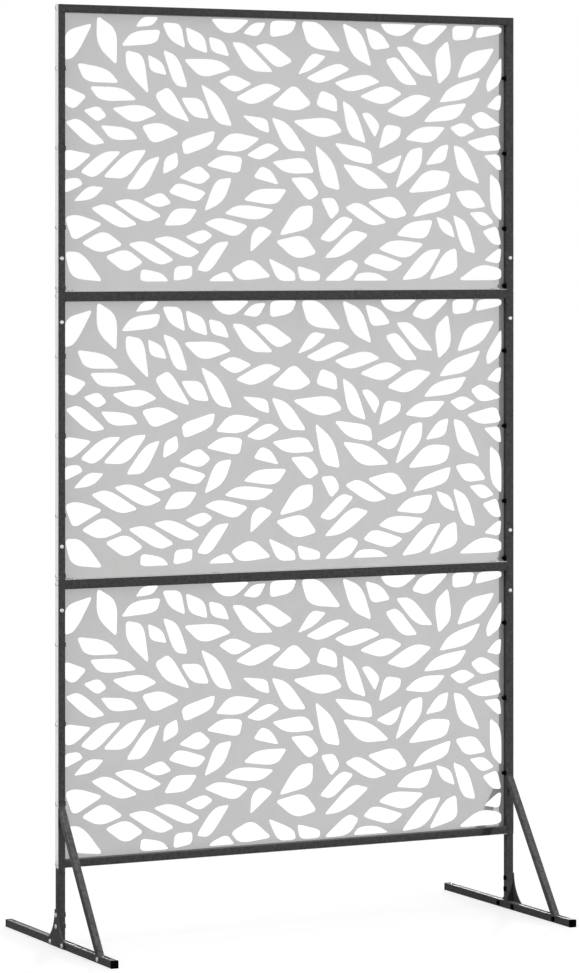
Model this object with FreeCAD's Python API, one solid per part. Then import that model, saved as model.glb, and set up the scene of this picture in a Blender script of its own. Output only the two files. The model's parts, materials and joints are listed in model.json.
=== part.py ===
import FreeCAD, Part
import math
import os
from FreeCAD import Rotation, Vector

# Privacy screen of square steel tube: two posts on braced feet, four rails and three leaf-cut panels.
# Millimetres. X runs across the screen, Y from front to back and Z up.
# The origin is on the ground, under the middle of the row of posts.

# Frame sizes
overall_width = 1100.0
overall_height = 1980.0
leg_height = 166.0
tube_size = 16.0
tube_wall = 0.8
mid_rail_height = 20.0
joint_rise = 4.0
sleeve_wall = 1.0
sleeve_length = 180.0
plug_length = 14.0
post_cap_depth = 4.0

# Panel sizes
panel_gap = 1.0
sheet_thickness = 0.8
side_margin = 21.3
end_margin = 20.5

# Leaf pattern sizes
leaf_pitch = 55.0
leaf_lengths = (62.0, 50.0, 38.0, 27.0, 17.0)
leaf_half_width = 40.0
leaf_base_reach = 11.0
leaf_tip_reach = 20.0
leaf_angle = 40.0
stem_offset = 12.0
spine_gap = 37.0
web_width = 8.5
grid_step = 13.0
least_leaf_width = 14.0

# Foot and brace sizes
foot_length = 560.0
foot_cap_thickness = 4.0
foot_cap_depth = 12.0
anchor_hole_diameter = 7.0
anchor_spacing = 496.0
brace_size = 14.0
brace_wall = 0.8
brace_foot_reach = 201.0
brace_top_height = 285.0
plate_thickness = 2.0
plate_half_width = 41.0
plate_top_height = 79.0
plate_ground_gap = 1.0

# Fastener sizes and places
bolt_width = 5.0
head_across = 10.0
head_height = 2.6
nut_across = 10.0
nut_height = 2.5
bolt_tip_length = 0.5
bolt_edge_distance = 8.0
bolt_step_share = 0.2765
plate_bolt_heights = (43.5, 67.5)
plate_bolt_spread = 31.0

# Stems of the leaf pattern: root, bend and tip as shares of a panel's width and of its height from the top
stem_shares = (
    ((0.33, 0.42), (0.19, 0.41), (0.09, 0.16)),
    ((0.34, 0.42), (0.22, 0.53), (0.00, 0.49)),
    ((0.28, 0.22), (0.36, 0.33), (0.50, 0.39)),
    ((0.49, 0.39), (0.59, 0.47), (0.66, 0.66)),
    ((0.80, 0.28), (0.64, 0.24), (0.58, 0.03)),
    ((0.71, 0.49), (0.82, 0.40), (0.89, 0.14)),
    ((0.06, 0.69), (0.26, 0.66), (0.38, 0.46)),
    ((0.14, 0.82), (0.32, 0.80), (0.43, 0.62)),
    ((0.26, 0.97), (0.42, 0.93), (0.50, 0.72)),
    ((0.60, 0.89), (0.72, 0.88), (0.80, 0.66)),
    ((0.78, 0.66), (0.90, 0.68), (0.97, 0.88)),
    ((0.80, 0.44), (0.92, 0.44), (0.99, 0.62)),
    ((0.01, 0.84), (0.10, 0.85), (0.16, 0.98)),
    ((0.00, 0.22), (0.12, 0.20), (0.19, 0.00)),
    ((0.16, 0.10), (0.26, 0.12), (0.30, 0.24)),
    ((0.27, 0.05), (0.38, 0.15), (0.52, 0.08)),
    ((0.40, 0.32), (0.48, 0.27), (0.56, 0.12)),
    ((0.79, 0.99), (0.90, 0.95), (0.97, 0.84)),
    ((0.42, 0.54), (0.50, 0.56), (0.55, 0.73)),
    ((0.48, 0.87), (0.60, 0.98), (0.77, 0.93)),
    ((0.67, 0.67), (0.77, 0.65), (0.83, 0.51)),
    ((0.00, 0.32), (0.07, 0.34), (0.12, 0.46)),
    ((0.68, 0.06), (0.82, 0.14), (0.99, 0.06)),
    ((0.55, 0.26), (0.64, 0.30), (0.70, 0.42)),
    ((0.90, 0.36), (0.96, 0.33), (0.99, 0.20)),
)

# Where the leaves start along a stem, on its two sides, and how plain their outlines are
stem_samples = 40
leaf_start_shares = {1: 0.1, -1: 0.6}
most_corners = 4
corner_share = 0.15

# Derived sizes
tube_half = tube_size / 2
tube_bore = tube_size - 2 * tube_wall
half_width = overall_width / 2
post_inner = half_width - tube_size
post_x = half_width - tube_half
panel_count = 3
panel_pitch = (overall_height - leg_height + panel_gap) / panel_count
panel_height = panel_pitch - panel_gap
panel_tops = [overall_height - panel_pitch * step for step in range(panel_count)]
panel_bottoms = [top - panel_height for top in panel_tops]
bottom_rail_z = panel_bottoms[-1] + sheet_thickness
joint_heights = [top - panel_pitch + joint_rise for top in panel_tops[:-1]]
bolt_outer = half_width + sheet_thickness
foot_half = foot_length / 2
brace_foot = Vector(0, -tube_half - brace_foot_reach, tube_half)
brace_top = Vector(0, -tube_half, brace_top_height)
side_signs = {"left": -1, "right": 1}
along_x = Rotation(Vector(0, 1, 0), 90)
along_y = Rotation(Vector(1, 0, 0), -90)


# Shapes shared by several pieces

def rectangle(width, depth):
    x, y = width / 2, depth / 2
    return Part.makePolygon([Vector(-x, -y), Vector(x, -y), Vector(x, y), Vector(-x, y), Vector(-x, -y)])


def hexagon(across):
    radius = across / math.sqrt(3)
    angles = [math.radians(60 * corner) for corner in range(7)]
    return Part.makePolygon([Vector(radius * math.cos(a), radius * math.sin(a)) for a in angles])


def prism(wires, length):
    return Part.makeFace(wires, "Part::FaceMakerBullseye").extrude(Vector(0, 0, length))


def tube(width, depth, wall, length):
    return prism([rectangle(width, depth), rectangle(width - 2 * wall, depth - 2 * wall)], length)


def box(low, high):
    size = high - low
    return Part.makeBox(size.x, size.y, size.z, low)


def placed(shape, base, rotation=Rotation()):
    moved = shape.copy()
    moved.Placement = FreeCAD.Placement(base, rotation)
    return moved


def drilled(shape, fasteners):
    through = [item for item in fasteners if item.BoundBox.intersect(shape.BoundBox)]
    return shape.cut(through) if through else shape


# Leaf pattern, worked out in the plane of a panel with its lower edge at zero

def panel_point(share):
    return Vector(overall_width * share[0] - half_width, panel_height * (1 - share[1]))


stems = [[panel_point(share) for share in stem] for stem in stem_shares]


def on_stem(stem, share):
    root, bend, tip = stem
    lower = root + (bend - root) * share
    upper = bend + (tip - bend) * share
    return lower + (upper - lower) * share


def growth(stem, share):
    root, bend, tip = stem
    return ((bend - root) * (1 - share) + (tip - bend) * share).normalize()


def turned(direction, degrees):
    return Rotation(Vector(0, 0, 1), degrees).multVec(direction)


def on_pattern(point):
    across = half_width - side_margin
    return abs(point.x) < across and end_margin < point.y < panel_height - end_margin


# A leaf's spine is its start, its end and the direction of the stem that it grows from

def nearest_on(point, spine):
    start, run = spine[0], spine[1] - spine[0]
    share = (point - start).dot(run) / run.dot(run)
    return start + run * max(0, min(1, share))


def nearest_pair(spine, other):
    pairs = [(point, nearest_on(point, other)) for point in spine[:2]]
    pairs += [(nearest_on(point, spine), point) for point in other[:2]]
    return min(pairs, key=lambda pair: pair[0].distanceToPoint(pair[1]))


def side_of(point, spine):
    return (spine[1] - spine[0]).cross(point - spine[0]).z


def crossing(spine, other):
    apart = side_of(other[0], spine) * side_of(other[1], spine) < 0
    return apart and side_of(spine[0], other) * side_of(spine[1], other) < 0


def is_clear(spine, others):
    middle = (spine[0] + spine[1]) / 2
    reach = spine[0].distanceToPoint(middle) + spine_gap
    for other in others:
        other_middle = (other[0] + other[1]) / 2
        if middle.distanceToPoint(other_middle) > reach + other[0].distanceToPoint(other_middle):
            continue
        point, facing = nearest_pair(spine, other)
        if crossing(spine, other) or point.distanceToPoint(facing) < spine_gap:
            return False
    return True


def add_spine(spines, trials):
    for spine in trials:
        if on_pattern(spine[0]) and on_pattern(spine[1]) and is_clear(spine, spines):
            spines.append(spine)
            return


def stem_spines(spines):
    """Leaves in step on both sides of every stem, each as long as its neighbours leave room for."""
    for stem in stems:
        count = max(2, round(stem[0].distanceToPoint(stem[2]) / leaf_pitch))
        for step in range(count):
            for side, start_share in leaf_start_shares.items():
                share = (step + start_share) / count
                ahead = growth(stem, share)
                base = on_stem(stem, share) + turned(ahead, 90 * side) * stem_offset
                run = turned(ahead, leaf_angle * side)
                add_spine(spines, [(base, base + run * length, ahead) for length in leaf_lengths])


def filling_spines(spines):
    """Leaves in the room that is left, leaning like those of the nearest stem."""
    shares = [step / stem_samples for step in range(stem_samples + 1)]
    samples = [(on_stem(stem, share), growth(stem, share)) for stem in stems for share in shares]
    spots = []
    for column in range(int(overall_width / grid_step)):
        for row in range(int(panel_height / grid_step)):
            spot = Vector(column * grid_step - half_width, row * grid_step)
            point, ahead = min(samples, key=lambda sample: sample[0].distanceToPoint(spot))
            side = 1 if ahead.cross(spot - point).z > 0 else -1
            spots.append((spot, turned(ahead, leaf_angle * side), ahead))
    for length in leaf_lengths:
        for spot, run, ahead in spots:
            add_spine(spines, [(spot - run * length / 2, spot + run * length / 2, ahead)])


def cut_off(corners, point, outward):
    """The part of a convex outline on the inner side of a line."""
    kept = []
    for corner, following in zip(corners, corners[1:] + corners[:1]):
        height, next_height = (corner - point).dot(outward), (following - point).dot(outward)
        if height <= 0:
            kept.append(corner)
        if height * next_height < 0:
            kept.append(corner + (following - corner) * (height / (height - next_height)))
    return kept


def area(corners):
    return sum(corner.cross(following).z for corner, following in zip(corners, corners[1:] + corners[:1])) / 2


def fewer_corners(corners):
    """Drops the flattest corners, so that a leaf is a plain outline of few edges."""
    whole = area(corners)
    while len(corners) > 3:
        triples = zip(corners[-1:] + corners[:-1], corners, corners[1:] + corners[:1])
        losses = [area(list(triple)) for triple in triples]
        flattest = losses.index(min(losses))
        if len(corners) <= most_corners and losses[flattest] > corner_share * whole:
            break
        corners = corners[:flattest] + corners[flattest + 1:]
    return corners


def leaf_outline(spine):
    """A long outline whose slanting ends run along the stem."""
    start, end, slant = spine
    ahead = (end - start).normalize()
    reach = slant * (leaf_half_width / math.sin(math.radians(leaf_angle)))
    if ahead.cross(slant).z < 0:
        reach = -reach
    base = start - ahead * leaf_base_reach
    tip = end + ahead * leaf_tip_reach
    return [base - reach, tip - reach, tip + reach, base + reach]


def leaf_corners(spine, spines):
    corners = leaf_outline(spine)
    for other in spines:
        if other is not spine:
            point, facing = nearest_pair(spine, other)
            outward = (facing - point).normalize()
            corners = cut_off(corners, (point + facing) / 2 - outward * web_width / 2, outward)
    across = half_width - side_margin
    for edge, outward in (
        (Vector(across, 0), Vector(1, 0)),
        (Vector(-across, 0), Vector(-1, 0)),
        (Vector(0, end_margin), Vector(0, -1)),
        (Vector(0, panel_height - end_margin), Vector(0, 1)),
    ):
        corners = cut_off(corners, edge, outward)
    return corners


def leaf_wires():
    spines = []
    stem_spines(spines)
    filling_spines(spines)
    wires = []
    for spine in spines:
        corners = leaf_corners(spine, spines)
        if len(corners) > 2 and area(corners) > least_leaf_width ** 2:
            corners = fewer_corners(corners)
            wires.append(Part.makePolygon(corners + corners[:1]))
    return wires


# Fasteners

def bolt(length):
    head = placed(prism([hexagon(head_across)], head_height), Vector(0, 0, -head_height))
    return head.fuse(prism([rectangle(bolt_width, bolt_width)], length)).removeSplitter()


def nut():
    return prism([rectangle(nut_across, nut_across), rectangle(bolt_width, bolt_width)], nut_height)


def side_fasteners(shape, x, spots):
    """Copies of a fastener on both sides of the screen, pointing inwards at places in Y and Z."""
    copies = []
    for sign in side_signs.values():
        inwards = Rotation(Vector(0, 0, 1), Vector(-sign, 0, 0))
        copies += [placed(shape, Vector(sign * x, y, z), inwards) for y, z in spots]
    return copies


def panel_bolt_spots():
    spots = []
    for top, bottom in zip(panel_tops, panel_bottoms):
        middle = (top + bottom) / 2
        spots += [(0, middle + step * bolt_step_share * panel_height) for step in (-1, 0, 1)]
    return spots + [(0, bottom + bolt_edge_distance) for bottom in panel_bottoms[:-1]]


def rail_bolt_spots():
    spots = [(0, top - bolt_edge_distance) for top in panel_tops]
    return spots + [(0, panel_bottoms[-1] + bolt_edge_distance)]


def plate_bolt_spots():
    on_post = [(0, height) for height in plate_bolt_heights]
    return on_post + [(-plate_bolt_spread, tube_half), (plate_bolt_spread, tube_half)]


through_length = tube_size + nut_height + bolt_tip_length
plate_outer = half_width + plate_thickness
panel_bolts = side_fasteners(bolt(sheet_thickness + through_length), bolt_outer, panel_bolt_spots())
panel_nuts = side_fasteners(nut(), post_inner, panel_bolt_spots())
rail_bolts = side_fasteners(bolt(sheet_thickness + tube_size + plug_length), bolt_outer, rail_bolt_spots())
plate_bolts = side_fasteners(bolt(plate_thickness + through_length), plate_outer, plate_bolt_spots())
plate_nuts = side_fasteners(nut(), post_inner, plate_bolt_spots())
brace_spots = [(brace_foot.y, brace_foot.z)]
brace_bolts = side_fasteners(bolt(through_length), half_width, brace_spots)
brace_nuts = side_fasteners(nut(), post_inner, brace_spots)


# Frame

def rail(low, height):
    bar = tube(height, tube_size, tube_wall, 2 * post_inner)
    return placed(bar, Vector(-post_inner, 0, low + height / 2), along_x)


def rail_end_plugs(rails):
    plugs = []
    for low, height in rails:
        block = prism([rectangle(height - 2 * tube_wall, tube_bore)], plug_length)
        for start in (-post_inner, post_inner - plug_length):
            plug = placed(block, Vector(start, 0, low + height / 2), along_x)
            plugs.append(drilled(plug, rail_bolts))
    return plugs


def post(sign, low, high):
    bar = placed(tube(tube_size, tube_size, tube_wall, high - low), Vector(sign * post_x, 0, low))
    return drilled(bar, panel_bolts + rail_bolts + plate_bolts)


def post_sleeve(sign, joint):
    base = Vector(sign * post_x, 0, joint - sleeve_length / 2)
    bar = placed(tube(tube_bore, tube_bore, sleeve_wall, sleeve_length), base)
    return drilled(bar, panel_bolts + rail_bolts)


def post_cap(sign):
    return placed(prism([rectangle(tube_bore, tube_bore)], post_cap_depth),
                  Vector(sign * post_x, 0, overall_height - post_cap_depth))


# Panels

def panel(bottom, holes):
    edge = rectangle(2 * bolt_outer, panel_height)
    edge.translate(Vector(0, panel_height / 2))
    sheet = prism([edge] + holes, sheet_thickness)
    upright = Rotation(Vector(1, 0, 0), 90)
    sheet = placed(sheet, Vector(0, tube_half + sheet_thickness, bottom), upright)
    lower_low = Vector(-post_inner, -tube_half, bottom)
    folds = [box(lower_low, lower_low + Vector(2 * post_inner, tube_size, sheet_thickness))]
    for start in (-bolt_outer, half_width):
        low = Vector(start, -tube_half, bottom)
        folds.append(box(low, low + Vector(sheet_thickness, tube_size, panel_height)))
    folds = [drilled(fold, panel_bolts + rail_bolts) for fold in folds]
    return sheet.fuse(folds).removeSplitter()


# Feet

def foot_tube(sign):
    length = foot_length - 2 * foot_cap_thickness
    start = Vector(sign * post_x, -length / 2, tube_half)
    bar = placed(tube(tube_size, tube_size, tube_wall, length), start, along_y)
    anchors = []
    for y in (-anchor_spacing / 2, anchor_spacing / 2):
        anchors.append(Part.makeCylinder(anchor_hole_diameter / 2, tube_size, Vector(sign * post_x, y, 0)))
    lean = (brace_top.y - brace_foot.y) / (brace_top.z - brace_foot.z)
    slot_half = brace_size / 2 * math.sqrt(1 + lean ** 2)
    slot_start = brace_foot.y - slot_half + lean * (tube_half - tube_wall)
    slot_end = brace_foot.y + slot_half + lean * tube_half
    slot_low = Vector(sign * post_x - tube_bore / 2, slot_start, tube_size - tube_wall)
    slot_high = Vector(sign * post_x + tube_bore / 2, slot_end, tube_size)
    return drilled(bar.cut(anchors + [box(slot_low, slot_high)]), plate_bolts + brace_bolts)


def foot_cap(sign, end):
    lid = prism([rectangle(tube_size, tube_size)], foot_cap_thickness)
    stem = prism([rectangle(tube_bore, tube_bore)], foot_cap_depth)
    cap = lid.fuse(stem).removeSplitter()
    inwards = Rotation(Vector(0, 0, 1), Vector(0, -end, 0))
    return placed(cap, Vector(sign * post_x, end * foot_half, tube_half), inwards)


def foot_plate(sign):
    """Gusset with a straight foot and two hollow curves that run up into the post's edges."""
    run = plate_half_width - tube_half
    rise = plate_top_height - tube_size
    radius = (run ** 2 + rise ** 2) / (2 * run)
    turn = math.asin(rise / radius) / 2
    bend_y = tube_half + radius * (1 - math.cos(turn))
    bend_z = plate_top_height - radius * math.sin(turn)

    def corner(y, z):
        return Vector(half_width, y, z)

    right_curve = Part.Arc(corner(plate_half_width, tube_size), corner(bend_y, bend_z),
                           corner(tube_half, plate_top_height)).toShape()
    left_curve = Part.Arc(corner(-tube_half, plate_top_height), corner(-bend_y, bend_z),
                          corner(-plate_half_width, tube_size)).toShape()
    top = Part.makeLine(corner(tube_half, plate_top_height), corner(-tube_half, plate_top_height))
    base = Part.makePolygon([
        corner(-plate_half_width, tube_size), corner(-plate_half_width, plate_ground_gap),
        corner(plate_half_width, plate_ground_gap), corner(plate_half_width, tube_size),
    ])
    outline = Part.Wire([right_curve, top, left_curve] + base.Edges)
    plate = Part.Face(outline).extrude(Vector(plate_thickness, 0, 0))
    if sign < 0:
        plate = plate.mirror(Vector(0, 0, 0), Vector(1, 0, 0))
    return drilled(plate, plate_bolts)


def brace(sign):
    ahead = (brace_top - brace_foot).normalize()
    spare = ahead * tube_size * 2
    length = brace_top.distanceToPoint(brace_foot) + 2 * spare.Length
    side_on = Rotation(Vector(1, 0, 0), -math.degrees(math.atan2(ahead.y, ahead.z)))
    bar = placed(tube(brace_size, brace_size, brace_wall, length),
                 brace_foot - spare + Vector(sign * post_x, 0, 0), side_on)
    room = box(Vector(sign * post_x - tube_size, -foot_half, tube_wall),
               Vector(sign * post_x + tube_size, -tube_half, overall_height))
    return drilled(bar.common(room), brace_bolts)


# Pieces and their files

def pieces():
    rails = {
        "top_rail": (overall_height - tube_size, tube_size),
        "upper_mid_rail": (panel_bottoms[0] - mid_rail_height, mid_rail_height),
        "lower_mid_rail": (panel_bottoms[1] - mid_rail_height, mid_rail_height),
        "bottom_rail": (bottom_rail_z, tube_size),
    }
    nodes = {name: rail(*place) for name, place in rails.items()}
    nodes["rail_end_plugs"] = Part.makeCompound(rail_end_plugs(rails.values()))
    leaf_holes = leaf_wires()
    for name, bottom in zip(("upper_panel", "middle_panel", "lower_panel"), panel_bottoms):
        nodes[name] = panel(bottom, leaf_holes)
    post_ends = [tube_size] + joint_heights[::-1] + [overall_height]
    for side, sign in side_signs.items():
        for level, low, high in zip(("lower", "middle", "upper"), post_ends, post_ends[1:]):
            nodes[f"{level}_post_{side}"] = post(sign, low, high)
        for level, joint in zip(("upper", "lower"), joint_heights):
            nodes[f"{level}_post_sleeve_{side}"] = post_sleeve(sign, joint)
        nodes[f"post_cap_{side}"] = post_cap(sign)
        nodes[f"foot_tube_{side}"] = foot_tube(sign)
        nodes[f"foot_plate_{side}"] = foot_plate(sign)
        nodes[f"brace_{side}"] = brace(sign)
        for place, end in (("front", -1), ("back", 1)):
            nodes[f"foot_cap_{side}_{place}"] = foot_cap(sign, end)
    groups = {
        "panel_bolts": panel_bolts, "panel_nuts": panel_nuts, "rail_bolts": rail_bolts,
        "plate_bolts": plate_bolts, "plate_nuts": plate_nuts, "brace_bolts": brace_bolts,
        "brace_nuts": brace_nuts,
    }
    nodes.update({name: Part.makeCompound(items) for name, items in groups.items()})
    return nodes


os.makedirs("parts", exist_ok=True)
for node_name, node_shape in pieces().items():
    node_shape.exportStep(f"parts/{node_name}.step")
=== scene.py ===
import json
import math

import bmesh
import bpy
from mathutils import Matrix, Vector
from mathutils.geometry import delaunay_2d_cdt


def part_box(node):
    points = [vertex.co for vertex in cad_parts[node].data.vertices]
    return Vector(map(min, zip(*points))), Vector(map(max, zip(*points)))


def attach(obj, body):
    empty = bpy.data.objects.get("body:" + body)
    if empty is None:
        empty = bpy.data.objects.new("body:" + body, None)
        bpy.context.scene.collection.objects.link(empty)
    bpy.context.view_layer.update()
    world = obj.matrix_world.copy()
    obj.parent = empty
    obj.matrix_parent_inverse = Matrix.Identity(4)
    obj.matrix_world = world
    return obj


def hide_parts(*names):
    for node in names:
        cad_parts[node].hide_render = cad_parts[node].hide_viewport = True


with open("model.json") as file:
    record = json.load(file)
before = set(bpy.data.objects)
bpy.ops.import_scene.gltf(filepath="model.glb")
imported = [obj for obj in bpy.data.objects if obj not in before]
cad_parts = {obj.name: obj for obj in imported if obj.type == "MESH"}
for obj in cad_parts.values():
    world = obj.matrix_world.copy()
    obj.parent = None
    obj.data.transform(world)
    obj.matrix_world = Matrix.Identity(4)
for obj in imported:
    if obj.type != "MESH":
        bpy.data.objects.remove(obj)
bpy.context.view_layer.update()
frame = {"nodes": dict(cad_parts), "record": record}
nodes = frame["nodes"]

# Tubes, sheet and plates, in metres like every size here
tube_wall = 0.0008
tube_corner_radius = 0.0012
end_chamfer = 0.0004
brace_corner_radius = 0.0012
sheet_thickness = 0.0008
fold_radius = 0.0018
cap_bevel = 0.0006
plate_bevel = 0.0003
anchor_spacing = 0.496
anchor_hole_radius = 0.0035

# Bolts, caps and screws
bolt_head_height = 0.0026
bolt_shank_radius = 0.0025
bolt_socket_radius = 0.0018
bolt_cap_radius = 0.0044
bolt_cap_length = 0.0062
thread_depth = 0.0003
thread_pitch = 0.0008
threaded_length = 0.0072
screw_head_height = 0.0024
screw_head_radius = 0.0045
screw_shank_radius = 0.0020
screw_length = 0.0060
post_screw_distance = 0.067
rail_screw_spacing = 0.342
rail_screw_setback = 0.005

# Weld beads
weld_radius = 0.0013
weld_ripple = 0.0003
weld_steps = 88
weld_ripples = 22
weld_sides = 8

# Steps, angles and tolerances of the meshes
corner_steps = 4
lathe_steps = 24
leaf_corner_steps = 6
bevel_segments = 3
bevel_angle = math.radians(50)
sharp_angle = math.radians(32)
merge_distance = 0.00001
fill_tolerance = 0.0000001

# Shares of the sizes that they follow
leaf_corner_share = 0.60
leaf_tip_share = 0.17
leaf_most_share = 0.48
dome_shares = ((0.35, 1.0), (0.55, 0.96), (0.76, 0.80), (0.92, 0.50), (1.0, 0.16), (1.0, 0.0))
socket_depth_share = 0.5
socket_point_share = 1 / 3
nut_chamfer_share = 0.1
rail_screw_shares = (-1.5, -0.5, 0.5, 1.5)

# Paint and plating
cloud_detail = 10.0
cloud_roughness = 0.7
dark_share = 0.35
light_share = 0.65
# Upward faces lean towards the top colour: painted top light, not dust
painted_top_light_start = 0.1
painted_top_light_most_share = 0.5
grain_detail = 3.0
peel_strength = 0.5

# Floor, light and camera
floor_size = 60.0
floor_grey = 0.55
floor_glow = 0.585
room_strength = 0.37
white_strength = 1.0
beam_distance = 10.0
beam_height = 1.09
beam_radius = 0.99
beam_softness = 0.05
beam_blend_share = 0.02
camera_place = Vector((-3.8100, -7.5655, 1.4641))
camera_turn = math.radians(-26.71)
camera_lens = 144.93
camera_shift = -0.2433


# Mesh pieces are made of parts, each a list of points and a list of faces

def lofted(rings, capped):
    """Faces from each ring of points to the next, with the two ends closed if capped."""
    size = len(rings[0])
    points = [point for ring in rings for point in ring]
    faces = []
    for step in range(len(rings) - 1):
        for i in range(size):
            j = (i + 1) % size
            low, high = step * size, (step + 1) * size
            faces.append((low + i, low + j, high + j, high + i))
    if capped:
        last = (len(rings) - 1) * size
        faces.append(tuple(reversed(range(size))))
        faces.append(tuple(range(last, last + size)))
    return points, faces


def lathe(profile):
    """A round part about the Z axis, from pairs of radius and height."""
    angles = [2 * math.pi * step / lathe_steps for step in range(lathe_steps)]
    rings = []
    for radius, height in profile:
        rings.append([Vector((radius * math.cos(a), radius * math.sin(a), height)) for a in angles])
    return lofted(rings, True)


def moved(part, matrix):
    return [matrix @ point for point in part[0]], part[1]


def mesh_object(name, parts):
    points, faces = [], []
    for part_points, part_faces in parts:
        start = len(points)
        points += part_points
        faces += [tuple(start + i for i in face) for face in part_faces]
    mesh = bpy.data.meshes.new(name)
    mesh.from_pydata(points, [], faces)
    shell = bmesh.new()
    shell.from_mesh(mesh)
    bmesh.ops.recalc_face_normals(shell, faces=shell.faces)
    shell.to_mesh(mesh)
    shell.free()
    mesh.shade_smooth()
    mesh.set_sharp_from_angle(angle=sharp_angle)
    made = bpy.data.objects.new(name, mesh)
    bpy.context.scene.collection.objects.link(made)
    return made


def mesh_piece(name, parts, slot, replaced=()):
    """A visible piece on the root body, which can stand in for CAD nodes."""
    piece = mesh_object(name, parts)
    piece.data.materials.append(materials[slot])
    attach(piece, "root")
    if replaced:
        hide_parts(*replaced)
    return piece


def rounded_rectangle(width, depth, radius):
    """Points of a rectangle with round corners, about the origin of the XY plane."""
    points = []
    for corner, (sign_x, sign_y) in enumerate(((1, 1), (-1, 1), (-1, -1), (1, -1))):
        centre = Vector((sign_x * (width / 2 - radius), sign_y * (depth / 2 - radius), 0))
        for step in range(corner_steps + 1):
            angle = math.pi / 2 * (corner + step / corner_steps)
            points.append(centre + Vector((math.cos(angle), math.sin(angle), 0)) * radius)
    return points


def merged_copy(node):
    """The mesh of a CAD node with its doubled points joined."""
    shape = bmesh.new()
    shape.from_mesh(nodes[node].data)
    bmesh.ops.remove_doubles(shape, verts=shape.verts, dist=merge_distance)
    return shape


def loose_boxes(node):
    """Lowest and highest corner of every separate solid in a CAD node."""
    shape = merged_copy(node)
    waiting = set(shape.verts)
    boxes = []
    while waiting:
        front = [waiting.pop()]
        found = []
        while front:
            vertex = front.pop()
            found.append(vertex.co.copy())
            for edge in vertex.link_edges:
                other = edge.other_vert(vertex)
                if other in waiting:
                    waiting.remove(other)
                    front.append(other)
        low = Vector(tuple(min(point[i] for point in found) for i in range(3)))
        high = Vector(tuple(max(point[i] for point in found) for i in range(3)))
        boxes.append((low, high))
    shape.free()
    return sorted(boxes, key=lambda ends: tuple(ends[0]))


# Materials

def noise(tree, place, scale, detail):
    texture = tree.nodes.new("ShaderNodeTexNoise")
    texture.inputs["Scale"].default_value = scale
    texture.inputs["Detail"].default_value = detail
    tree.links.new(place.outputs["Object"], texture.inputs["Vector"])
    return texture


def clouds_with_painted_top_light(tree, place, clouds):
    """The clouds, raised where the surface looks up: painted top light, which moves upward faces towards the
    top colour.
    """
    facing = tree.nodes.new("ShaderNodeSeparateXYZ")
    upward = tree.nodes.new("ShaderNodeMapRange")
    upward.inputs["From Min"].default_value = painted_top_light_start
    upward.inputs["To Max"].default_value = painted_top_light_most_share
    total = tree.nodes.new("ShaderNodeMath")
    link = tree.links.new
    link(place.outputs["Normal"], facing.inputs["Vector"])
    link(facing.outputs["Z"], upward.inputs["Value"])
    link(clouds.outputs["Fac"], total.inputs[0])
    link(upward.outputs["Result"], total.inputs[1])
    return total


def tinted(tree, look, amount):
    """Colour from dark through light to the top colour, which is painted top light on upward faces."""
    tint = tree.nodes.new("ShaderNodeValToRGB")
    tint.color_ramp.elements[0].position = dark_share
    tint.color_ramp.elements[0].color = (*look["dark"], 1)
    tint.color_ramp.elements[1].color = (*look["painted_top_tone"], 1)
    tint.color_ramp.elements.new(light_share).color = (*look["light"], 1)
    tree.links.new(amount.outputs["Value"], tint.inputs["Fac"])
    return tint


def uneven_gloss(tree, look, clouds):
    gloss = tree.nodes.new("ShaderNodeMapRange")
    gloss.inputs["To Min"].default_value = look["roughness"][0]
    gloss.inputs["To Max"].default_value = look["roughness"][1]
    tree.links.new(clouds.outputs["Fac"], gloss.inputs["Value"])
    return gloss


def orange_peel(tree, look, place):
    grains = noise(tree, place, look["grain"], grain_detail)
    bump = tree.nodes.new("ShaderNodeBump")
    bump.inputs["Strength"].default_value = peel_strength
    bump.inputs["Distance"].default_value = look["peel"]
    tree.links.new(grains.outputs["Fac"], bump.inputs["Height"])
    return bump


def coated(name, look):
    """Paint, plating or plastic with clouds of colour, painted top light on upward faces, uneven gloss and an
    orange peel.
    """
    material = bpy.data.materials.new(name)
    material.use_nodes = True
    tree = material.node_tree
    shader = tree.nodes["Principled BSDF"]
    shader.inputs["Metallic"].default_value = look["metallic"]
    shader.inputs["Specular IOR Level"].default_value = look["shine"]
    place = tree.nodes.new("ShaderNodeTexCoord")
    clouds = noise(tree, place, look["clouds"], cloud_detail)
    clouds.inputs["Roughness"].default_value = cloud_roughness
    tint = tinted(tree, look, clouds_with_painted_top_light(tree, place, clouds))
    link = tree.links.new
    link(tint.outputs["Color"], shader.inputs["Base Color"])
    link(uneven_gloss(tree, look, clouds).outputs["Result"], shader.inputs["Roughness"])
    link(orange_peel(tree, look, place).outputs["Normal"], shader.inputs["Normal"])
    return material


# The top colour of each look is painted top light on the faces that look up; on this paint it lightens the
# tops of the braces and feet
charcoal_powder_coat = {
    "dark": (0.027, 0.027, 0.027), "light": (0.061, 0.061, 0.061), "painted_top_tone": (0.160, 0.160, 0.160),
    "clouds": 120.0, "grain": 700.0, "peel": 0.00006,
    "roughness": (0.48, 0.66), "metallic": 0.0, "shine": 0.07,
}
light_grey_powder_coat = {
    "dark": (0.520, 0.524, 0.517), "light": (0.558, 0.562, 0.555), "painted_top_tone": (0.570, 0.574, 0.567),
    "clouds": 12.0, "grain": 900.0, "peel": 0.00004,
    "roughness": (0.45, 0.62), "metallic": 0.0, "shine": 0.4,
}
zinc_plated_steel = {
    "dark": (0.36, 0.36, 0.355), "light": (0.48, 0.48, 0.475), "painted_top_tone": (0.46, 0.46, 0.455),
    "clouds": 300.0, "grain": 2500.0, "peel": 0.00001,
    "roughness": (0.42, 0.56), "metallic": 1.0, "shine": 0.5,
}
black_oxide_steel = {
    "dark": (0.001, 0.001, 0.001), "light": (0.004, 0.004, 0.004), "painted_top_tone": (0.008, 0.008, 0.008),
    "clouds": 300.0, "grain": 2500.0, "peel": 0.00001,
    "roughness": (0.50, 0.65), "metallic": 0.0, "shine": 0.0,
}
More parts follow.
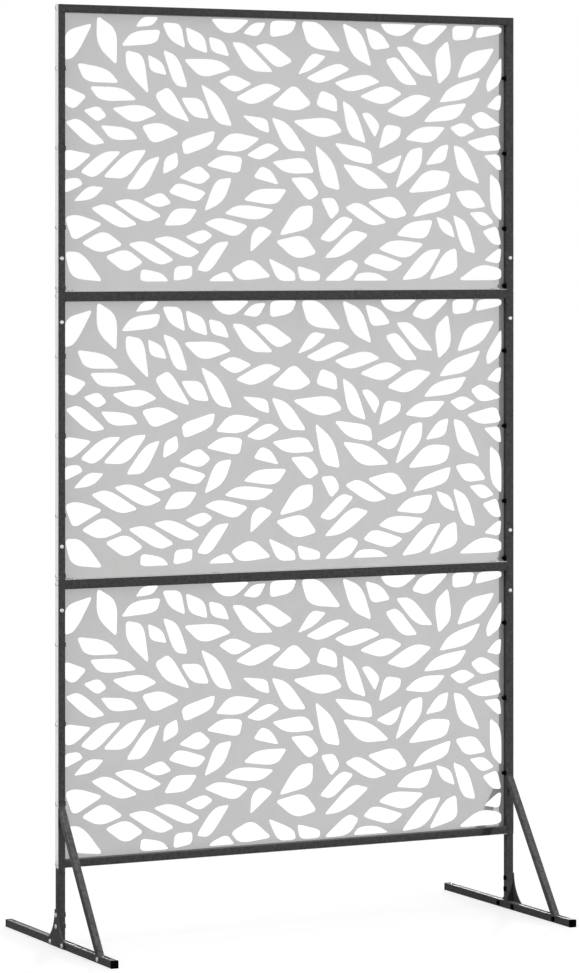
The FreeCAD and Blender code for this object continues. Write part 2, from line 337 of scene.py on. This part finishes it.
black_moulded_plastic = {
    "dark": (0.001, 0.001, 0.001), "light": (0.004, 0.004, 0.004), "painted_top_tone": (0.008, 0.008, 0.008),
    "clouds": 120.0, "grain": 1500.0, "peel": 0.00004,
    "roughness": (0.50, 0.65), "metallic": 0.0, "shine": 0.0,
}
materials = {
    "frame_paint": coated("charcoal_powder_coat", charcoal_powder_coat),
    "panel_paint": coated("light_grey_powder_coat", light_grey_powder_coat),
    "zinc_steel": coated("zinc_plated_steel", zinc_plated_steel),
    "black_steel": coated("black_oxide_steel", black_oxide_steel),
    "black_plastic": coated("black_moulded_plastic", black_moulded_plastic),
}


# Posts and rails

def tube_part(width, depth, length, radius):
    """An open square tube with slightly broken ends, so that butted lengths show a fine joint."""
    def ring(inset, height):
        outline = rounded_rectangle(width - 2 * inset, depth - 2 * inset, radius - inset)
        return [point + Vector((0, 0, height)) for point in outline]

    chamfer = end_chamfer
    outside = [ring(chamfer, 0), ring(0, chamfer), ring(0, length - chamfer), ring(chamfer, length)]
    inside = [ring(tube_wall, length), ring(tube_wall, 0)]
    return lofted(outside + inside + outside[:1], False)


def upright_tube(node):
    low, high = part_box(node)
    size = high - low
    middle = (low + high) / 2
    part = tube_part(size.x, size.y, size.z, tube_corner_radius)
    return moved(part, Matrix.Translation((middle.x, middle.y, low.z)))


def lying_tube(node):
    low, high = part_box(node)
    size = high - low
    middle = (low + high) / 2
    part = tube_part(size.z, size.y, size.x, tube_corner_radius)
    turn = Matrix.Rotation(math.pi / 2, 4, "Y")
    return moved(part, Matrix.Translation((low.x, middle.y, middle.z)) @ turn)


def add_frame():
    for node in nodes:
        if "_post_left" in node or "_post_right" in node:
            mesh_piece(f"{node}_tube", [upright_tube(node)], "frame_paint", [node])
        if node.endswith("_rail"):
            mesh_piece(f"{node}_tube", [lying_tube(node)], "frame_paint", [node])


# Feet

def foot_part(node):
    low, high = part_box(node)
    size = high - low
    middle = (low + high) / 2
    part = tube_part(size.x, size.z, size.y, tube_corner_radius)
    turn = Matrix.Rotation(-math.pi / 2, 4, "X")
    return moved(part, Matrix.Translation((middle.x, low.y, middle.z)) @ turn)


def drilled(piece, drills):
    """Cuts parts out of a piece."""
    cutter = mesh_object("drills", drills)
    cut = piece.modifiers.new("cut", "BOOLEAN")
    cut.object = cutter
    cut.solver = "EXACT"
    shaped = piece.evaluated_get(bpy.context.evaluated_depsgraph_get())
    mesh = bpy.data.meshes.new_from_object(shaped)
    piece.modifiers.clear()
    piece.data = mesh
    bpy.data.objects.remove(cutter)


def anchor_drills(node):
    """Drills for the two anchor holes of a foot."""
    low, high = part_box(node)
    drill = lathe(((anchor_hole_radius, low.z - tube_wall), (anchor_hole_radius, high.z + tube_wall)))
    middle = (low.x + high.x) / 2
    return [moved(drill, Matrix.Translation((middle, sign * anchor_spacing / 2, 0))) for sign in (-1, 1)]


def brace_part(node):
    """A square tube whose ends are cut by the post's front and by the floor of the foot."""
    low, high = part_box(node)
    size = high.x - low.x
    ahead = Vector((0, high.y - low.y, high.z - low.z)).normalized()
    aside = Vector((1, 0, 0))
    up = aside.cross(ahead)
    middle = Vector(((low.x + high.x) / 2, high.y, high.z)) - up * size / 2
    foot_ring, post_ring = [], []
    for point in rounded_rectangle(size, size, brace_corner_radius):
        start = middle + aside * point.x + up * point.y
        post_ring.append(start + ahead * (high.y - start.y) / ahead.y)
        foot_ring.append(start + ahead * (low.z - start.z) / ahead.z)
    return lofted([foot_ring, post_ring], True), post_ring


def weld_part(line):
    """A rippled bead along the closed line where a brace meets its post."""
    lengths = [0.0]
    for point, following in zip(line, line[1:] + line[:1]):
        lengths.append(lengths[-1] + (following - point).length)

    def on_line(distance):
        for i, point in enumerate(line):
            if distance <= lengths[i + 1]:
                share = (distance - lengths[i]) / (lengths[i + 1] - lengths[i])
                return point.lerp(line[(i + 1) % len(line)], share)
        return line[0]

    centre = sum(line, Vector()) / len(line)
    rings = []
    for step in range(weld_steps + 1):
        point = on_line(lengths[-1] * (step % weld_steps) / weld_steps)
        outward = (point - centre).normalized()
        radius = weld_radius + weld_ripple * math.cos(2 * math.pi * weld_ripples * step / weld_steps)
        ring = []
        for turn in range(weld_sides):
            angle = 2 * math.pi * turn / weld_sides
            ring.append(point + (outward * math.cos(angle) + Vector((0, 1, 0)) * math.sin(angle)) * radius)
        rings.append(ring)
    return lofted(rings, False)


def add_feet():
    for side in ("left", "right"):
        foot, brace = f"foot_tube_{side}", f"brace_{side}"
        piece = mesh_piece(f"{foot}_bar", [foot_part(foot)], "frame_paint", [foot])
        drilled(piece, anchor_drills(foot))
        bar, post_ring = brace_part(brace)
        mesh_piece(f"{brace}_bar", [bar], "frame_paint", [brace])
        mesh_piece(f"{brace}_weld", [weld_part(post_ring)], "frame_paint")


# Panels

def hole_outlines(node):
    """The closed lines where a panel's back face ends, without the outer edge."""
    shape = merged_copy(node)
    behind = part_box(node)[1].y - merge_distance
    following = {}
    for edge in shape.edges:
        backs = [face for face in edge.link_faces if min(vertex.co.y for vertex in face.verts) > behind]
        if len(backs) == 1 and len(edge.link_faces) == 2:
            for loop in backs[0].loops:
                if loop.edge == edge:
                    following[loop.vert] = loop.link_loop_next.vert
    outlines = []
    while following:
        start, vertex = following.popitem()
        outline = [start.co.copy()]
        while vertex != start:
            outline.append(vertex.co.copy())
            vertex = following.pop(vertex)
        outlines.append(outline)
    shape.free()
    widths = [max(point.x for point in line) - min(point.x for point in line) for line in outlines]
    outlines.pop(widths.index(max(widths)))
    return outlines


def rounded_outline(corners):
    """Leaf outline with soft corners: wide angles turn into bows and narrow tips are only blunted."""
    points = []
    for i, corner in enumerate(corners):
        before = corners[i - 1] - corner
        after = corners[(i + 1) % len(corners)] - corner
        bow_share = leaf_corner_share * before.angle(after) / math.pi
        share = min(leaf_most_share, max(leaf_tip_share, bow_share))
        for step in range(leaf_corner_steps + 1):
            along = step / leaf_corner_steps
            points.append(corner + before * share * (1 - along) ** 2 + after * share * along ** 2)
    return points


def sheet_part(outer, holes, front):
    """A flat sheet with holes, from its outlines in the XZ plane of the sheet's back."""
    back = outer[0].y
    flat, rims = [], []
    for outline in [outer] + holes:
        rims.append(list(range(len(flat), len(flat) + len(outline))))
        flat += [Vector((point.x, point.z)) for point in outline]
    filled = delaunay_2d_cdt(flat, [], rims, 1, fill_tolerance)
    flat = filled[0]
    triangles = [tuple(face) for face, owners in zip(filled[2], filled[5]) if list(owners) == [0]]
    count = len(flat)
    points = [Vector((spot.x, depth, spot.y)) for depth in (back, front) for spot in flat]
    faces = triangles + [tuple(count + i for i in reversed(triangle)) for triangle in triangles]
    sides = {}
    for triangle in triangles:
        for start, end in zip(triangle, triangle[1:] + triangle[:1]):
            wall = (end, start, count + start, count + end)
            sides.setdefault(frozenset((start, end)), []).append(wall)
    faces += [walls[0] for walls in sides.values() if len(walls) == 1]
    return points, faces


def fold_profile(reach):
    """Section of a folded edge: a quarter bend from the sheet, then a flat strip of that reach."""
    outside, inside = [], []
    for step in range(corner_steps + 1):
        angle = math.pi / 2 * step / corner_steps
        direction = Vector((math.sin(angle), math.cos(angle), 0))
        outside.append(direction * fold_radius)
        inside.append(direction * (fold_radius - sheet_thickness))
    outside.append(Vector((fold_radius, -reach, 0)))
    inside.append(Vector((fold_radius - sheet_thickness, -reach, 0)))
    return outside + inside[::-1]


def fold_part(reach, length, across, ahead, base):
    """A folded edge along a direction, with its bend at base and its strip towards the front."""
    ring = [base + across * point.x + Vector((0, point.y, 0)) for point in fold_profile(reach)]
    return lofted([ring, [point + ahead * length for point in ring]], True)


def add_panels():
    post_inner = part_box("upper_post_right")[0].x
    up, right = Vector((0, 0, 1)), Vector((1, 0, 0))
    for node in nodes:
        if not node.endswith("_panel"):
            continue
        low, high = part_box(node)
        side = high.x - fold_radius
        bend_y = high.y - fold_radius
        reach = bend_y - low.y
        foot = low.z + fold_radius
        corners = ((-side, foot), (side, foot), (side, high.z), (-side, high.z))
        outer = [Vector((x, high.y, z)) for x, z in corners]
        holes = [rounded_outline(outline) for outline in hole_outlines(node)]
        parts = [sheet_part(outer, holes, high.y - sheet_thickness)]
        for sign in (-1, 1):
            base = Vector((sign * side, bend_y, low.z))
            parts.append(fold_part(reach, high.z - low.z, right * sign, up, base))
        base = Vector((-post_inner, bend_y, foot))
        parts.append(fold_part(reach, 2 * post_inner, -up, right, base))
        mesh_piece(f"{node}_sheet", parts, "panel_paint", [node])


# Fasteners

def dome_profile(radius, height, socket):
    """Head of a bolt or screw from the floor of its socket to the seat at zero."""
    floor = -height * socket_depth_share
    profile = [(socket * socket_point_share, floor), (socket, floor), (socket, -height)]
    return profile + [(radius * reach, -height * lift) for reach, lift in dome_shares]


def shank_part(length):
    """Round shank with ridges of thread on its free end."""
    height = length - threaded_length
    profile = [(bolt_shank_radius, 0), (bolt_shank_radius, height)]
    while height + thread_pitch < length:
        profile.append((bolt_shank_radius - thread_depth, height + thread_pitch / 2))
        height += thread_pitch
        profile.append((bolt_shank_radius, height))
    return lathe(profile + [(bolt_shank_radius - thread_depth, length)])


def inward(place, direction):
    """Moves a fastener's seat to a place and turns its Z axis along a direction."""
    return Matrix.Translation(place) @ direction.to_track_quat("Z", "Y").to_matrix().to_4x4()


def add_bolts():
    for node in ("panel_bolts", "rail_bolts", "plate_bolts", "brace_bolts"):
        heads, shanks = [], []
        for low, high in loose_boxes(node):
            sign = math.copysign(1, low.x)
            seat = max(abs(low.x), abs(high.x)) - bolt_head_height
            length = high.x - low.x - bolt_head_height
            middle = (low + high) / 2
            turn = inward(Vector((sign * seat, middle.y, middle.z)), Vector((-sign, 0, 0)))
            radius = min(high.y - low.y, high.z - low.z) / 2
            head = lathe(dome_profile(radius, bolt_head_height, bolt_socket_radius))
            heads.append(moved(head, turn))
            shanks.append(moved(shank_part(length), turn))
        mesh_piece(f"{node}_heads", heads, "zinc_steel", [node])
        mesh_piece(f"{node}_shanks", shanks, "black_steel")


def nut_part(across, height):
    """Square nut with a turned-down outer face."""
    chamfer = across * nut_chamfer_share
    ring = rounded_rectangle(across, across, chamfer)
    small = rounded_rectangle(across - chamfer, across - chamfer, chamfer)
    lifts = ((ring, 0), (ring, height - chamfer / 2), (small, height))
    return lofted([[point + Vector((0, 0, lift)) for point in outline] for outline, lift in lifts], True)


def add_nuts():
    for node in ("panel_nuts", "plate_nuts", "brace_nuts"):
        parts = []
        for low, high in loose_boxes(node):
            sign = math.copysign(1, low.x)
            seat = max(abs(low.x), abs(high.x))
            middle = (low + high) / 2
            part = nut_part(high.y - low.y, high.x - low.x)
            place = Vector((sign * seat, middle.y, middle.z))
            parts.append(moved(part, inward(place, Vector((-sign, 0, 0)))))
        mesh_piece(f"{node}_square", parts, "black_steel", [node])


def bolt_cap_part():
    """Closed round cap over the end of a bolt."""
    straight = bolt_cap_length - bolt_cap_radius
    profile = [(bolt_cap_radius, 0)]
    for step in range(corner_steps + 1):
        angle = math.pi / 2 * step / (corner_steps + 1)
        profile.append((bolt_cap_radius * math.cos(angle), straight + bolt_cap_radius * math.sin(angle)))
    return lathe(profile)


def add_bolt_caps():
    """Caps on the right post's panel nuts, the only ones that have them."""
    parts = []
    for low, high in loose_boxes("panel_nuts"):
        if low.x > 0:
            middle = (low + high) / 2
            place = Vector((low.x, middle.y, middle.z))
            parts.append(moved(bolt_cap_part(), inward(place, Vector((-1, 0, 0)))))
    mesh_piece("panel_bolt_caps", parts, "black_steel")


def screw_part():
    profile = dome_profile(screw_head_radius, screw_head_height, bolt_socket_radius)
    return lathe(profile + [(screw_shank_radius, 0), (screw_shank_radius, screw_length)])


def add_screws():
    post_parts = []
    for side in ("left", "right"):
        for level in ("upper", "middle"):
            low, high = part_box(f"{level}_post_{side}")
            for height in (low.z - post_screw_distance, low.z + post_screw_distance):
                place = Vector(((low.x + high.x) / 2, low.y, height))
                post_parts.append(moved(screw_part(), inward(place, Vector((0, 1, 0)))))
    mesh_piece("post_joint_screws", post_parts, "zinc_steel")
    rail_parts = []
    for node in ("upper_mid_rail", "lower_mid_rail"):
        low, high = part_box(node)
        for share in rail_screw_shares:
            place = Vector((share * rail_screw_spacing, low.y + rail_screw_setback, high.z + sheet_thickness))
            rail_parts.append(moved(screw_part(), inward(place, Vector((0, 0, -1)))))
    mesh_piece("rail_flange_screws", rail_parts, "zinc_steel")


# CAD nodes that are shown as they are

def soften(node, width):
    edge = nodes[node].modifiers.new("soft_edges", "BEVEL")
    edge.width = width
    edge.segments = bevel_segments
    edge.limit_method = "ANGLE"
    edge.angle_limit = bevel_angle


def finish_nodes():
    for row in frame["record"]["subparts"]:
        node = row["node"]
        nodes[node].data.materials.clear()
        nodes[node].data.materials.append(materials[row["material_slot"]])
        if "_cap_" in node:
            soften(node, cap_bevel)
        if node.startswith("foot_plate"):
            soften(node, plate_bevel)


# Floor, light and camera

def background_rays(tree):
    """One for rays that show the background: from the camera, off a shiny surface or through glass."""
    path = tree.nodes.new("ShaderNodeLightPath")
    found = path.outputs["Is Camera Ray"]
    for ray in ("Is Glossy Ray", "Is Transmission Ray"):
        either = tree.nodes.new("ShaderNodeMath")
        either.operation = "MAXIMUM"
        tree.links.new(found, either.inputs[0])
        tree.links.new(path.outputs[ray], either.inputs[1])
        found = either.outputs["Value"]
    return found


def add_floor():
    """A grey floor that looks white and keeps the shadows."""
    half = floor_size / 2
    corners = [Vector((x, y, 0)) for x, y in ((-half, -half), (half, -half), (half, half), (-half, half))]
    floor = mesh_object("floor", [(corners, [(0, 1, 2, 3)])])
    material = bpy.data.materials.new("white_floor")
    material.use_nodes = True
    tree = material.node_tree
    tree.nodes.clear()
    matt = tree.nodes.new("ShaderNodeBsdfDiffuse")
    matt.inputs["Color"].default_value = (floor_grey, floor_grey, floor_grey, 1)
    glow = tree.nodes.new("ShaderNodeEmission")
    glow.inputs["Color"].default_value = (1, 1, 1, 1)
    glow.inputs["Strength"].default_value = floor_glow
    both = tree.nodes.new("ShaderNodeAddShader")
    choice = tree.nodes.new("ShaderNodeMixShader")
    output = tree.nodes.new("ShaderNodeOutputMaterial")
    link = tree.links.new
    link(matt.outputs["BSDF"], both.inputs[0])
    link(glow.outputs["Emission"], both.inputs[1])
    link(background_rays(tree), choice.inputs["Fac"])
    link(matt.outputs["BSDF"], choice.inputs[1])
    link(both.outputs["Shader"], choice.inputs[2])
    link(choice.outputs["Shader"], output.inputs["Surface"])
    floor.data.materials.append(material)


def add_world():
    """A grey room that lights the object, seen as white."""
    world = bpy.data.worlds.new("studio")
    world.use_nodes = True
    bpy.context.scene.world = world
    tree = world.node_tree
    tree.nodes.clear()
    room = tree.nodes.new("ShaderNodeBackground")
    room.inputs["Color"].default_value = (1, 1, 1, 1)
    room.inputs["Strength"].default_value = room_strength
    white = tree.nodes.new("ShaderNodeBackground")
    white.inputs["Color"].default_value = (1, 1, 1, 1)
    white.inputs["Strength"].default_value = white_strength
    choice = tree.nodes.new("ShaderNodeMixShader")
    output = tree.nodes.new("ShaderNodeOutputWorld")
    link = tree.links.new
    link(background_rays(tree), choice.inputs["Fac"])
    link(room.outputs["Background"], choice.inputs[1])
    link(white.outputs["Background"], choice.inputs[2])
    link(choice.outputs["Shader"], output.inputs["Surface"])


def add_sun(name, strength, softness, side_angle, height_angle):
    """A distant light from the front: side_angle to the right of it, height_angle above the horizon."""
    light = bpy.data.lights.new(name, "SUN")
    light.energy = strength
    light.angle = math.radians(softness)
    lamp = bpy.data.objects.new(name, light)
    bpy.context.scene.collection.objects.link(lamp)
    side, height = math.radians(side_angle), math.radians(height_angle)
    source = Vector((math.sin(side) * math.cos(height), -math.cos(side) * math.cos(height), math.sin(height)))
    lamp.rotation_euler = source.to_track_quat("Z", "Y").to_euler()


def add_side_beam(name, power, side_angle):
    """A round beam on the panels' folded sides, which passes above the feet."""
    light = bpy.data.lights.new(name, "SPOT")
    light.energy = power
    light.spot_size = 2 * math.atan(beam_radius / beam_distance)
    light.spot_blend = beam_blend_share
    light.shadow_soft_size = beam_softness
    lamp = bpy.data.objects.new(name, light)
    bpy.context.scene.collection.objects.link(lamp)
    side = math.radians(side_angle)
    source = Vector((math.sin(side), -math.cos(side), 0))
    lamp.location = source * beam_distance + Vector((0, 0, beam_height))
    lamp.rotation_euler = source.to_track_quat("Z", "Y").to_euler()


def add_camera():
    lens = bpy.data.cameras.new("camera")
    lens.lens = camera_lens
    lens.shift_y = camera_shift
    camera = bpy.data.objects.new("camera", lens)
    camera.location = camera_place
    camera.rotation_euler = (math.pi / 2, 0, camera_turn)
    bpy.context.scene.collection.objects.link(camera)
    bpy.context.scene.camera = camera


finish_nodes()
add_frame()
add_feet()
add_panels()
add_bolts()
add_nuts()
add_bolt_caps()
add_screws()
add_floor()
add_world()
add_sun("key", strength=1.8, softness=3.0, side_angle=38.0, height_angle=4.0)
add_sun("left_fill", strength=0.6, softness=20.0, side_angle=-80.0, height_angle=15.0)
add_side_beam("left_beam", power=2300.0, side_angle=-89.7)
add_sun("top", strength=0.9, softness=40.0, side_angle=0.0, height_angle=88.0)
add_sun("back_right", strength=1.5, softness=5.0, side_angle=145.0, height_angle=10.0)
add_camera()
bpy.context.scene.view_settings.view_transform = "Standard"
